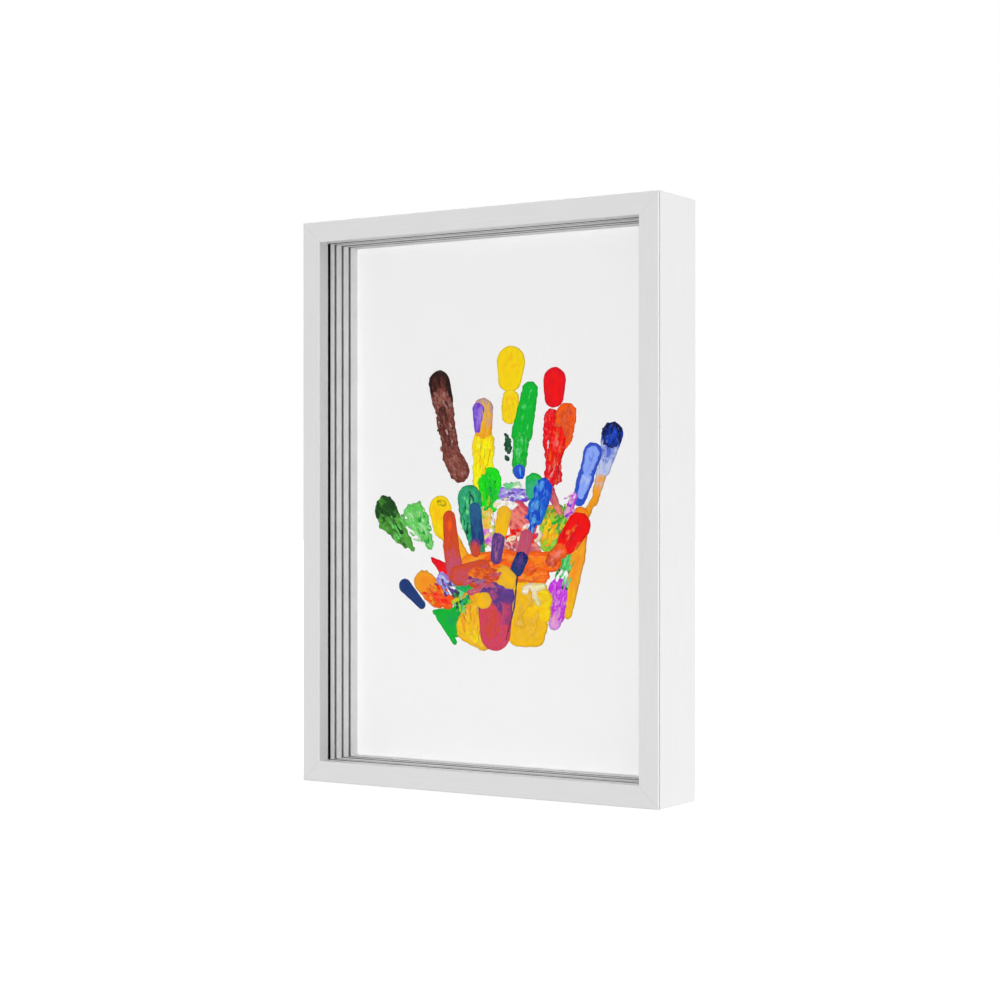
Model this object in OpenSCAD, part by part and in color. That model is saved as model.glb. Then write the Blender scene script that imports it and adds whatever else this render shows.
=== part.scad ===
// Deep picture frame with four glass panes set one behind another, each carrying one painted hand print.
// Millimetres. The frame stands on Z = 0, X runs to the right, and the front faces -Y.

/* [Frame] */
// Overall width of the frame
frame_w = 224; // [210:1:300]
// Overall height of the frame
frame_h = 310; // [280:1:400]
// Width of a rail seen from the front
face_w = 11.5; // [10:0.5:18]
// Thickness of the side wall of a rail
wall_t = 6; // [5:0.5:8]
// Thickness of the lip in front of the glass
lip_t = 7.7; // [4:0.1:12]
// Radius of the long edges at the front
front_edge_r = 0.6; // [0.2:0.1:1.5]
// Radius of the long edges at the back
back_edge_r = 0.3; // [0.1:0.1:1]
// Depth of the fine groove along each mitre
mitre_groove = 0.25; // [0.1:0.05:0.5]
// Width of the shadow line that is cut round the sides just behind the front edge
shadow_line_w = 0.9; // [0.4:0.1:1.5]
// Depth of the shadow line
shadow_line_depth = 1.3; // [0.5:0.1:2]

/* [Glass and spacers] */
// Thickness of one pane
pane_t = 2; // [1.5:0.1:3]
// Bevel on the edges of a pane
pane_bevel = 0.2; // [0.1:0.1:0.5]
// Gap between the sheets and the side walls
sheet_gap = 0.5; // [0.2:0.1:1]
// Depth of the air gap between two panes
spacer_t = 4.6; // [3:0.1:8]
// Depth of the gap between the last pane and the card
rear_spacer_t = 6.2; // [3:0.1:12]
// Distance of the spacer strips behind the edge of the lip
spacer_setback = 0.3; // [0.1:0.1:1]
// Radius of the two long edges of a spacer strip that show
spacer_edge_r = 0.3; // [0.1:0.1:0.6]
// Thickness of a film of paint
paint_t = 0.25; // [0.1:0.05:0.5]
// Width of the bare line that a finger crease leaves in the paint
crease_w = 0.7; // [0.3:0.1:1.2]

/* [Back] */
// Thickness of the white card
card_t = 1; // [0.5:0.1:2]
// Thickness of the backing board
board_t = 3; // [2.5:0.5:5]
// Bevel on the edges of the backing board
board_bevel = 0.3; // [0.1:0.1:0.5]
// Distance of the backing board below the back of the rails
board_setback = 0.3; // [0.1:0.1:1]

/* [Turn buttons] */
// Distance of the turn buttons on an upright rail from the middle of that rail
button_offset_upright = 90; // [50:5:100]
// Distance of the turn buttons on a level rail from the middle of that rail
button_offset_level = 55; // [40:5:65]
// Distance of a turn button's screw from the outer side of its rail
button_inset = 3.5; // [3.2:0.1:3.7]
// Thickness of the turn button's steel
button_t = 1; // [0.8:0.1:1.5]
// Diameter of the end that turns on the screw
button_eye_d = 5.5; // [5:0.1:6]
// Diameter of the round tip
button_tip_d = 5; // [4:0.5:6]
// Distance from the screw to the middle of the tip
button_arm = 14.5; // [12:0.5:18]
// Length of the end that is bent up as a finger tab
button_tab = 4; // [2:0.5:5]
// Angle of the finger tab
button_tab_angle = 30; // [15:5:45]
// Radial play of the turn button on its screw
button_play = 0.05; // [0.02:0.01:0.1]

/* [Screws and nails] */
// Diameter of the screw's shank
screw_d = 2.5; // [2:0.1:3]
// Diameter of the screw's point
screw_point_d = 0.6; // [0.4:0.1:1]
// Length of the screw in the rail
screw_length = 12; // [8:1:20]
// Diameter of the screw's head
screw_head_d = 5; // [4.5:0.1:6]
// Height of the screw's head
screw_head_h = 1.5; // [1.2:0.1:2]
// Width of a slot of the screw's cross recess
screw_slot_w = 0.8; // [0.5:0.1:1]
// Length of a slot of the screw's cross recess
screw_slot_length = 3.2; // [2.5:0.1:4]
// Depth of the screw's cross recess
screw_slot_depth = 0.8; // [0.5:0.1:1]
// Length of each leg of the corner nails
nail_leg = 5; // [3:0.5:8]
// Thickness of the corner nails
nail_t = 0.6; // [0.4:0.1:1]
// Depth that the corner nails reach into the rails
nail_depth = 10; // [6:1:15]
// Distance of the corner nails below the back of the rails
nail_sunk = 0.4; // [0.2:0.1:1]

/* [Hangers] */
// Length of a sawtooth hanger
hanger_length = 46; // [42:1:60]
// Width of a sawtooth hanger
hanger_w = 9; // [8:0.5:12]
// Thickness of the hanger's steel
hanger_t = 0.8; // [0.5:0.1:1.2]
// Clear gap behind the raised part, for the nail in the wall
hanger_rise = 2; // [1.5:0.1:3]
// Length of the raised part
hanger_raised = 26; // [24:1:28]
// Angle of the two bends at each end of the raised part
hanger_bend = 45; // [30:5:60]
// Distance of a hanger from the side wall
hanger_margin = 6; // [3:0.5:20]
// Number of notches along the hanging edge
saw_notches = 9; // [5:2:9]
// Distance from notch to notch
saw_pitch = 2.4; // [2:0.1:2.6]
// Depth of a notch
saw_depth = 1.6; // [1:0.1:2]
// Distance between the two rivets of a hanger
rivet_spacing = 38; // [37:0.5:40]
// Diameter of a rivet's shank
rivet_d = 2.4; // [2:0.1:3]
// Diameter of a rivet's domed head
rivet_head_d = 4.6; // [4:0.1:5.5]
// Height of a rivet's domed head
rivet_head_h = 1; // [0.6:0.1:1.4]
// Diameter of the flared tail of a rivet
rivet_tail_d = 4.4; // [4:0.1:5.5]
// Height of the flared tail of a rivet
rivet_tail_h = 1; // [0.6:0.1:1.4]

/* [Hidden] */
$fn = 48;
over = 1;
root_2 = sqrt(2);

pane_count = 4;
inner_w = frame_w - 2 * wall_t;
inner_h = frame_h - 2 * wall_t;
sheet_w = inner_w - 2 * sheet_gap;
sheet_h = inner_h - 2 * sheet_gap;
spacer_w = face_w - wall_t - spacer_setback;
card_depth = pane_depth(pane_count) + pane_t + rear_spacer_t;
board_depth = card_depth + card_t;
frame_d = board_depth + board_t + board_setback;
front_y = -frame_d / 2;
back_y = frame_d / 2;
board_back_y = back_y - board_setback;
saw_length = saw_notches * saw_pitch;

BOTTOM = 0;
LEFT = 1;
TOP = 2;
RIGHT = 3;
SIDES = ["bottom", "left", "top", "right"];
LEVELS = [1, 2, 3, 4];

// Name, rail and end of the rail for each turn button
BUTTONS = [
    ["turn_button_left_upper", LEFT, -1],
    ["turn_button_left_lower", LEFT, 1],
    ["turn_button_right_upper", RIGHT, 1],
    ["turn_button_right_lower", RIGHT, -1],
    ["turn_button_top_left", TOP, 1],
    ["turn_button_top_right", TOP, -1],
    ["turn_button_bottom_left", BOTTOM, -1],
    ["turn_button_bottom_right", BOTTOM, 1]
];

WHITE_PAINT = [0.93, 0.93, 0.93];
WHITE_FOAM = [0.86, 0.86, 0.86];
CLEAR_GLASS = [0.82, 0.9, 0.88, 0.3];
WHITE_CARD = [0.96, 0.96, 0.96];
BROWN_BOARD = [0.62, 0.47, 0.33];
BRIGHT_STEEL = [0.75, 0.76, 0.78];
DULL_STEEL = [0.5, 0.5, 0.52];

// Places of the two creases of a finger, as shares of its length from the tip, and their slant
CREASES = [0.36, 0.7];
crease_slant = 8;
// Steps round each end of a dab of paint
dab_steps = 12;

// A finger is its tip (x, z), its root (x, z), and its widths at the tip and the root.
// A pad of the palm is two round ends in the same way. All are measured from the middle of the frame.
BABY_FINGERS = [
    [[-48, -47], [-37, -55], 8, 5],
    [[-21, -9], [-18, -36], 8, 9],
    [[-4, -6], [-4, -26], 6, 6],
    [[14, -7], [10, -29], 8, 6],
    [[28, -19], [23, -35], 7, 7]
];
BABY_PALM = [
    [[-14, -40], [15, -41], 11, 10],
    [[2, -46], [14, -48], 12, 13],
    [[9, -50], [9, -69], 18, 17]
];
CHILD_FINGERS = [
    [[-38, -44], [-24, -53], 14, 10],
    [[-30, -4], [-14, -29], 12, 9],
    [[-12, 2], [-6, -25], 12, 8],
    [[33, 6], [29, -14], 13, 4],
    [[58, -11], [43, -29], 14, 7]
];
CHILD_PALM = [
    [[-34, -31], [-25, -38], 3, 9],
    [[-10, -35], [41, -32], 12, 11],
    [[-26, -41], [-14, -56], 9, 11],
    [[-27, -61], [-19, -74], 10, 4],
    [[-7, -50], [-6, -68], 12, 18],
    [[23, -46], [34, -46], 14, 14],
    [[22, -58], [33, -58], 18, 18],
    [[21, -70], [31, -70], 14, 14]
];
MOTHER_FINGERS = [
    [[-53, -7], [-41, -20], 14, 5],
    [[-7, 49], [-7, 12], 12, 12],
    [[22, 58], [17, 16], 11, 8],
    [[45, 45], [38, 10], 13, 6],
    [[61, 26], [53, 2], 11, 8]
];
MOTHER_PALM = [
    [[-3, 11], [-2, 1], 14, 13],
    [[8, 4], [21, 3], 6, 6],
    [[8, -3], [24, -11], 8, 14],
    [[-3, -9], [2, -22], 9, 8],
    [[9, -24], [27, -24], 10, 10],
    [[37, 4], [42, -6], 6, 4],
    [[50, 2], [47, -7], 4, 4]
];
FATHER_FINGERS = [
    [[-75, -1], [-58, -21], 13, 4],
    [[-39, 65], [-27, 16], 13, 13],
    [[8, 74], [6, 46], 16, 11],
    [[34, 65], [34, 13], 13, 8],
    [[70, 35], [54, -7], 12, 5]
];
FATHER_PALM = [
    [[32, -8], [33, -21], 15, 15],
    [[51, -8], [49, -31], 9, 8],
    [[49, -31], [43, -59], 8, 5],
    [[43, -31], [40, -42], 9, 8],
    [[38, -47], [35, -64], 11, 7]
];

// Depth of the front of a pane behind the front of the frame
function pane_depth(level) = lip_t + (level - 1) * (pane_t + spacer_t);
function is_upright(side) = side == LEFT || side == RIGHT;
function rail_length(side) = is_upright(side) ? frame_h : frame_w;
function gap_depth(level) = level < pane_count ? spacer_t : rear_spacer_t;
function button_offset(side) = is_upright(side) ? button_offset_upright : button_offset_level;
function unit(angle) = [cos(angle), sin(angle)];

// Puts a rail's own frame on a side: X along the rail from its middle, Z inwards from its outer face
module on_side(side) {
    half = (is_upright(side) ? frame_w : frame_h) / 2;
    translate([0, 0, frame_h / 2]) rotate([0, 90 * side, 0]) translate([0, 0, -half]) children();
}

// Gives a flat shape a thickness along +Y, with the shape's own x and y along X and Z
module plate(thickness) {
    translate([0, thickness, 0]) rotate([90, 0, 0]) linear_extrude(thickness) children();
}

// Draws a flat profile along X, with the profile's own x and y along Z and Y
module moulding(length) {
    rotate([0, -90, 0]) linear_extrude(length, center = true) children();
}

// Shape between a square corner at the origin and its rounding
module corner_waste(radius) {
    difference() {
        translate([-over, -over]) square(radius + over);
        translate([radius, radius]) circle(radius);
    }
}

// Flat bar with round ends of two widths and straight sides that meet the ends smoothly
module tapered_bar(from, to, from_w, to_w, thickness) {
    reach = to - from;
    heading = atan2(reach[1], reach[0]);
    swing = acos((from_w - to_w) / 2 / norm(reach));
    plate(thickness) translate(from) circle(d = from_w);
    plate(thickness) translate(to) circle(d = to_w);
    plate(thickness) polygon([
        from + from_w / 2 * unit(heading + swing),
        to + to_w / 2 * unit(heading + swing),
        to + to_w / 2 * unit(heading - swing),
        from + from_w / 2 * unit(heading - swing)
    ]);
}

// Same outline as a tapered bar, walked round in short steps
function dab_outline(from, to, from_w, to_w) =
    let (
        reach = to - from,
        heading = atan2(reach[1], reach[0]),
        swing = acos((from_w - to_w) / 2 / norm(reach))
    )
    concat(
        [for (k = [0:dab_steps]) to + to_w / 2 * unit(heading + swing * (2 * k / dab_steps - 1))],
        [for (k = [0:dab_steps]) from + from_w / 2 * unit(heading + swing + (360 - 2 * swing) * k / dab_steps)]
    );

// Flat dab of paint with round ends
module dab(shape) {
    plate(paint_t) polygon(dab_outline(shape[0], shape[1], shape[2], shape[3]));
}

// Rectangle with its corners cut off
module bevelled_rectangle(width, height, bevel) {
    polygon([
        [bevel, 0], [width - bevel, 0], [width, bevel], [width, height - bevel],
        [width - bevel, height], [bevel, height], [0, height - bevel], [0, bevel]
    ]);
}

// Sheet that stands on the bottom rail, with its front face at a given depth
module sheet(depth, thickness, bevel) {
    translate([-sheet_w / 2, front_y + depth, wall_t]) intersection() {
        linear_extrude(sheet_h) bevelled_rectangle(sheet_w, thickness, bevel);
        translate([sheet_w / 2, 0, 0]) moulding(sheet_w + 2 * over) bevelled_rectangle(sheet_h, thickness, bevel);
    }
}

module rail_profile() {
    difference() {
        union() {
            square([face_w, lip_t]);
            square([wall_t, frame_d]);
        }
        corner_waste(front_edge_r);
        translate([-over, front_edge_r]) square([over + shadow_line_depth, shadow_line_w]);
        translate([face_w, 0]) mirror([1, 0]) corner_waste(front_edge_r);
        translate([0, frame_d]) mirror([0, 1]) corner_waste(back_edge_r);
        translate([wall_t, frame_d]) mirror([1, 0]) mirror([0, 1]) corner_waste(back_edge_r);
    }
}

// Space that a rail may fill between its two mitres
module mitre_limits(length) {
    inner = face_w + over;
    translate([0, front_y - over, 0]) plate(frame_d + 2 * over) polygon([
        [-length / 2 - over, -over], [length / 2 + over, -over],
        [length / 2 - inner, inner], [-length / 2 + inner, inner]
    ]);
}

module mitre_grooves(length) {
    for (end = [0, 1]) {
        mirror([end, 0, 0]) translate([-length / 2, front_y, 0]) rotate([0, -45, 0]) rotate([45, 0, 0])
            cube([4 * face_w, mitre_groove * root_2, mitre_groove * root_2], center = true);
    }
}

module rail(side) {
    length = rail_length(side);
    color(WHITE_PAINT) difference() {
        on_side(side) difference() {
            intersection() {
                translate([0, front_y, 0]) moulding(length + 2 * over) rail_profile();
                mitre_limits(length);
            }
            mitre_grooves(length);
        }
        for (end = [-1, 1]) at_button(side, end * button_offset(side)) screw();
        nails(nail_sunk + over);
    }
}

// Bent nail in the wall of each corner, with one leg in each rail
module nails(rear) {
    low = wall_t / 2 - nail_t / 2;
    high = wall_t / 2 + nail_t / 2;
    far = wall_t / 2 + nail_leg;
    for (left_right = [0, 1]) for (low_high = [0, 1]) {
        translate([0, back_y - nail_sunk - nail_depth, frame_h / 2])
            mirror([left_right, 0, 0]) mirror([0, 0, low_high])
            translate([-frame_w / 2, 0, -frame_h / 2]) plate(nail_depth + rear)
            polygon([[low, low], [far, low], [far, high], [high, high], [high, far], [low, far]]);
    }
}

module corner_v_nails() {
    color(DULL_STEEL) nails(0);
}

module pane(level) {
    color(CLEAR_GLASS) sheet(pane_depth(level), pane_t, pane_bevel);
}

module spacer(level, side) {
    length = is_upright(side) ? inner_h : inner_w - 2 * spacer_w;
    depth = gap_depth(level);
    color(WHITE_FOAM) on_side(side)
        translate([0, front_y + pane_depth(level) + pane_t, wall_t]) moulding(length) difference() {
            square([spacer_w, depth]);
            translate([spacer_w, 0]) mirror([1, 0]) corner_waste(spacer_edge_r);
            translate([spacer_w, depth]) mirror([1, 0]) mirror([0, 1]) corner_waste(spacer_edge_r);
        }
}

module backing_card() {
    color(WHITE_CARD) translate([-sheet_w / 2, front_y + card_depth, wall_t]) cube([sheet_w, card_t, sheet_h]);
}

module backing_board() {
    color(BROWN_BOARD) difference() {
        sheet(board_depth, board_t, board_bevel);
        rivets();
    }
}

// Puts Y = 0 on the back of a rail, at the screw of a turn button, with Z along the closed button
module at_button(side, offset) {
    on_side(side) translate([offset, back_y, button_inset]) children();
}

module turn_button(side, end) {
    tip_reach = button_arm + button_tip_d / 2;
    bend = tip_reach - button_tab;
    tab_run = button_tab + over;
    rise = tan(button_tab_angle);
    eye = -button_eye_d / 2 - over;
    top_shift = button_t * tan(button_tab_angle / 2);
    lift = button_t / cos(button_tab_angle);
    color(BRIGHT_STEEL) at_button(side, end * button_offset(side)) difference() {
        intersection() {
            tapered_bar([0, 0], [0, button_arm], button_eye_d, button_tip_d, button_tab * rise + 2 * button_t);
            moulding(button_eye_d + 2 * over) polygon([
                [eye, 0], [bend, 0], [bend + tab_run, tab_run * rise], [bend + tab_run, tab_run * rise + lift],
                [bend - top_shift, button_t], [eye, button_t]
            ]);
        }
        translate([0, -over, 0]) rotate([-90, 0, 0]) cylinder(d = screw_d + 2 * button_play, h = button_t + 2 * over);
    }
}

// Screw whose head bears on a turn button and whose shank fills its hole in the rail
module screw() {
    tip_h = screw_d;
    dome_r = (pow(screw_head_d / 2, 2) + pow(screw_head_h, 2)) / (2 * screw_head_h);
    head_top = button_t + screw_head_h;
    rotate([-90, 0, 0]) difference() {
        union() {
            translate([0, 0, -screw_length]) cylinder(d1 = screw_point_d, d2 = screw_d, h = tip_h);
            translate([0, 0, tip_h - screw_length]) cylinder(d = screw_d, h = screw_length - tip_h + button_t);
            intersection() {
                translate([0, 0, button_t]) cylinder(d = screw_head_d, h = screw_head_h);
                translate([0, 0, head_top - dome_r]) sphere(dome_r);
            }
        }
        for (turn = [0, 90]) rotate([0, 0, turn]) translate([0, 0, head_top])
            cube([screw_slot_length, screw_slot_w, 2 * screw_slot_depth], center = true);
    }
}

module button_screws() {
    color(DULL_STEEL) for (b = BUTTONS) at_button(b[1], b[2] * button_offset(b[1])) screw();
}

// Puts Y = 0 on the back of the backing board, with Z inwards from the outer edge of a hanger
module at_hanger(side) {
    on_side(side) translate([0, board_back_y, wall_t + hanger_margin]) children();
}

module hanger(side) {
    half = hanger_length / 2;
    raised = hanger_raised / 2;
    foot = raised + hanger_rise / tan(hanger_bend);
    top_shift = hanger_t * tan(hanger_bend / 2);
    top = hanger_rise + hanger_t;
    end_x = half - hanger_w / 2;
    color(BRIGHT_STEEL) at_hanger(side) difference() {
        intersection() {
            tapered_bar([-end_x, hanger_w / 2], [end_x, hanger_w / 2], hanger_w, hanger_w, top + over);
            linear_extrude(hanger_w) polygon([
                [-half, 0], [-foot, 0], [-raised, hanger_rise], [raised, hanger_rise], [foot, 0], [half, 0],
                [half, hanger_t], [foot + top_shift, hanger_t], [raised + top_shift, top],
                [-raised - top_shift, top], [-foot - top_shift, hanger_t], [-half, hanger_t]
            ]);
        }
        translate([0, 0, hanger_w]) plate(top + over) saw_waste();
        for (end = [-1, 1]) translate([end * rivet_spacing / 2, 0, hanger_w / 2]) rivet();
    }
}

// Row of notches cut into the hanging edge of a hanger
module saw_waste() {
    polygon(concat(
        [[-saw_length / 2, over], [-saw_length / 2, 0]],
        [for (n = [0:saw_notches - 1]) each [
            [(n + 0.5) * saw_pitch - saw_length / 2, -saw_depth],
            [(n + 1) * saw_pitch - saw_length / 2, 0]
        ]],
        [[saw_length / 2, over]]
    ));
}

// Rivet with a domed head on the hanger and a tail that is flared flush with the front of the board
module rivet() {
    dome_r = (pow(rivet_head_d / 2, 2) + pow(rivet_head_h, 2)) / (2 * rivet_head_h);
    rotate([-90, 0, 0]) {
        translate([0, 0, -board_t]) cylinder(d1 = rivet_tail_d, d2 = rivet_d, h = rivet_tail_h);
        translate([0, 0, rivet_tail_h - board_t]) cylinder(d = rivet_d, h = board_t - rivet_tail_h + hanger_t);
        intersection() {
            translate([0, 0, hanger_t]) cylinder(d = rivet_head_d, h = rivet_head_h);
            translate([0, 0, hanger_t + rivet_head_h - dome_r]) sphere(dome_r);
        }
    }
}

module rivets() {
    for (side = [TOP, LEFT]) for (end = [-1, 1]) {
        at_hanger(side) translate([end * rivet_spacing / 2, 0, hanger_w / 2]) rivet();
    }
}

module hanger_rivets() {
    color(DULL_STEEL) rivets();
}

// Bare line across a finger, at a share of its length from the tip
module crease(finger, share) {
    reach = finger[1] - finger[0];
    translate([0, -over, 0]) plate(paint_t + 2 * over)
        translate(finger[0] + share * reach) rotate(atan2(reach[1], reach[0]) + crease_slant)
        square([crease_w, 2 * finger[2]], center = true);
}

// Film of paint that starts at a given depth, on the face of a pane
module handprint(fingers, palm, depth) {
    translate([0, front_y + depth, frame_h / 2]) {
        difference() {
            for (f = fingers) dab(f);
            for (f = fingers) for (share = CREASES) crease(f, share);
        }
        for (p = palm) dab(p);
    }
}

module handprint_baby() {
    color("hotpink") handprint(BABY_FINGERS, BABY_PALM, pane_depth(1) + pane_t);
}

module handprint_child() {
    color("orange") handprint(CHILD_FINGERS, CHILD_PALM, pane_depth(2) - paint_t);
}

module handprint_mother() {
    color("limegreen") handprint(MOTHER_FINGERS, MOTHER_PALM, pane_depth(3) - paint_t);
}

module handprint_father() {
    color("red") handprint(FATHER_FINGERS, FATHER_PALM, pane_depth(4) - paint_t);
}

for (side = [BOTTOM:RIGHT]) {
    rail(side);
}
for (level = LEVELS) {
    pane(level);
}
for (level = LEVELS) for (side = [BOTTOM:RIGHT]) {
    spacer(level, side);
}
for (b = BUTTONS) {
    turn_button(b[1], b[2]);
}
corner_v_nails();
backing_card();
backing_board();
button_screws();
hanger(TOP);  // hanger_portrait
hanger(LEFT);  // hanger_landscape
hanger_rivets();
handprint_baby();
handprint_child();
handprint_mother();
handprint_father();
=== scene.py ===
import math
import random

import bmesh
import bpy
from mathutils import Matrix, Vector, noise


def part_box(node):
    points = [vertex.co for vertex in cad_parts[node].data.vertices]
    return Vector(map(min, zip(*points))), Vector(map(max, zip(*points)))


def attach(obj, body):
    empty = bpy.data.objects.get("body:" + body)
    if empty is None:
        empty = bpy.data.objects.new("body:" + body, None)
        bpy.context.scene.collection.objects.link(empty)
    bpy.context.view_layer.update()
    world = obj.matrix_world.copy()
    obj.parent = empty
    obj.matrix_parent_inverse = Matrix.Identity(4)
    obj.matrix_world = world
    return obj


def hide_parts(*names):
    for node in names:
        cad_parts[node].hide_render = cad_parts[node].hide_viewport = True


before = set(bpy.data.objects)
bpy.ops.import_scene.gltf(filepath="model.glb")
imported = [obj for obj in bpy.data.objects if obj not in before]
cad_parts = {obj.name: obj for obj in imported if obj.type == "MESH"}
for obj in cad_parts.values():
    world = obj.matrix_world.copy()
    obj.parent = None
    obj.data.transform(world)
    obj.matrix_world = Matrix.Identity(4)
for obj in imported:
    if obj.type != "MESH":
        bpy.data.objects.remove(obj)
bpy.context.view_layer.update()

MM = 0.001

# Middle of the frame, and half the width and height of the opening inside the spacers
MIDDLE_Z = (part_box("rail_bottom")[0].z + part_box("rail_top")[1].z) / 2
OPEN_EDGE_X = -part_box("spacer_1_left")[1].x
OPEN_EDGE_Z = MIDDLE_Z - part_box("spacer_1_bottom")[1].z

# Places of the colour sockets of a Mix node, whose names aren't unique
MIX_FIRST, MIX_SECOND, MIX_RESULT = 6, 7, 2

# Stretch of a pattern that runs level or upright, in wood and in brushed steel
WOOD_LEVEL, WOOD_UPRIGHT = (0.05, 1, 1), (1, 1, 0.05)
BRUSHED_LEVEL, BRUSHED_UPRIGHT, NOT_BRUSHED = (0.04, 1, 1), (1, 1, 0.04), (1, 1, 1)

PURE_WHITE = (1, 1, 1, 1)
GLASS_INDEX = 1.5


def pane_front(level):
    """Y of the front face of a pane."""
    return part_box(f"pane_{level}")[0].y


def pane_back(level):
    """Y of the back face of a pane."""
    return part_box(f"pane_{level}")[1].y


def tone(code):
    """Linear colour of a paint or finish that is written as a hex code."""
    channels = [int(code[k:k + 2], 16) / 255 for k in (1, 3, 5)]
    linear = [c / 12.92 if c <= 0.04045 else ((c + 0.055) / 1.055) ** 2.4 for c in channels]
    return (*linear, 1.0)


class Finish:
    """One material, whose nodes are added step by step."""

    def __init__(self, name):
        self.material = bpy.data.materials.new(name)
        self.material.use_nodes = True
        self.tree = self.material.node_tree
        self.shader = self.tree.nodes["Principled BSDF"]

    def add(self, kind, **settings):
        """Adds a node."""
        node = self.tree.nodes.new("ShaderNode" + kind)
        for name, value in settings.items():
            setattr(node, name, value)
        return node

    def feed(self, socket, value):
        """Links another socket to a socket, or sets it to a constant."""
        if isinstance(value, bpy.types.NodeSocket):
            self.tree.links.new(value, socket)
        else:
            socket.default_value = value

    def constant(self, **values):
        """Sets sockets of the shader; a space in a name is written as an underscore."""
        for name, value in values.items():
            self.shader.inputs[name.replace("_", " ")].default_value = value

    def coat(self, colour, roughness):
        """Gives the shader its colour and roughness."""
        self.feed(self.shader.inputs["Base Color"], colour)
        self.feed(self.shader.inputs["Roughness"], roughness)

    def place(self, stretch=(1, 1, 1), attribute=None):
        """Object coordinates, or an attribute of the piece, with a stretch on each axis."""
        if attribute:
            source = self.add("Attribute", attribute_name=attribute).outputs["Vector"]
        else:
            source = self.add("TexCoord").outputs["Object"]
        mapping = self.add("Mapping")
        self.feed(mapping.inputs["Vector"], source)
        self.feed(mapping.inputs["Scale"], stretch)
        return mapping.outputs["Vector"]

    def grain(self, place, scale, detail=3.0, rough=0.55, warp=0.0):
        """Noise, from 0 to 1."""
        node = self.add("TexNoise")
        self.feed(node.inputs["Vector"], place)
        self.feed(node.inputs["Scale"], scale)
        self.feed(node.inputs["Detail"], detail)
        self.feed(node.inputs["Roughness"], rough)
        self.feed(node.inputs["Distortion"], warp)
        return node.outputs["Fac"]

    def fit(self, value, low, high, to_low=0.0, to_high=1.0, smooth=True):
        """Maps a range of values onto another range."""
        node = self.add("MapRange", interpolation_type="SMOOTHSTEP" if smooth else "LINEAR")
        self.feed(node.inputs["Value"], value)
        self.feed(node.inputs["From Min"], low)
        self.feed(node.inputs["From Max"], high)
        self.feed(node.inputs["To Min"], to_low)
        self.feed(node.inputs["To Max"], to_high)
        return node.outputs["Result"]

    def maths(self, operation, first, second=0.0):
        """One sum, difference or product."""
        node = self.add("Math", operation=operation)
        self.feed(node.inputs[0], first)
        self.feed(node.inputs[1], second)
        return node.outputs["Value"]

    def weigh(self, first, first_share, second, second_share):
        """Sum of two values, each times its share."""
        parts = [self.maths("MULTIPLY", *part) for part in ((first, first_share), (second, second_share))]
        return self.maths("ADD", *parts)

    def mix(self, share, first, second, blend="MIX"):
        """Mixes the second colour into the first."""
        node = self.add("Mix", data_type="RGBA", blend_type=blend)
        self.feed(node.inputs[0], share)
        self.feed(node.inputs[MIX_FIRST], first)
        self.feed(node.inputs[MIX_SECOND], second)
        return node.outputs[MIX_RESULT]

    def darken(self, share, colour, code):
        """Multiplies part of a colour by a darker tone."""
        return self.mix(share, colour, self.mix(1.0, colour, tone(code), "MULTIPLY"))

    def blend(self, share, first, second):
        """Mixes the second shader into the first."""
        node = self.add("MixShader")
        self.feed(node.inputs["Fac"], share)
        self.feed(node.inputs[1], first.outputs[0])
        self.feed(node.inputs[2], second.outputs[0])
        return node

    def show(self, shader):
        """Makes a shader the surface."""
        self.feed(self.tree.nodes["Material Output"].inputs["Surface"], shader.outputs[0])

    def bump(self, height, strength, depth):
        """Fine relief of the surface."""
        node = self.add("Bump")
        self.feed(node.inputs["Height"], height)
        self.feed(node.inputs["Strength"], strength)
        self.feed(node.inputs["Distance"], depth)
        self.feed(self.shader.inputs["Normal"], node.outputs["Normal"])


# Finishes

def white_wood(name, along):
    """Satin white paint on wood: faint grain along the rail, fine orange peel and faint clouds."""
    made = Finish(name)
    grain = made.grain(made.place(along), 900, detail=4, rough=0.6, warp=0.6)
    peel = made.grain(made.place(), 1400, detail=2)
    clouds = made.grain(made.place(), 28, detail=2)
    colour = made.mix(made.fit(grain, 0.35, 0.7), tone("#e2e2e2"), tone("#dfdfdf"))
    colour = made.mix(made.fit(clouds, 0.3, 0.75, 0, 0.35), colour, tone("#dddddc"))
    made.coat(colour, made.fit(peel, 0.3, 0.7, 0.34, 0.46))
    made.constant(Specular_IOR_Level=0.3)
    made.bump(made.weigh(grain, 0.6, peel, 0.4), 0.1, 0.05 * MM)
    return made.material


def spacer_foam():
    """Matt white strip with fine closed cells."""
    made = Finish("spacer_foam")
    cells = made.add("TexVoronoi", feature="F1")
    made.feed(cells.inputs["Vector"], made.place())
    made.feed(cells.inputs["Scale"], 2200)
    clouds = made.grain(made.place(), 90, detail=3)
    colour = made.mix(made.fit(clouds, 0.3, 0.7), tone("#f6f6f6"), tone("#eeeeee"))
    colour = made.mix(made.fit(cells.outputs["Distance"], 0.3, 0.8, 0, 0.5), colour, tone("#e4e4e4"))
    made.coat(colour, made.fit(clouds, 0.3, 0.7, 0.72, 0.86))
    made.constant(Specular_IOR_Level=0.2)
    made.bump(cells.outputs["Distance"], 0.3, 0.08 * MM)
    return made.material


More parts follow.
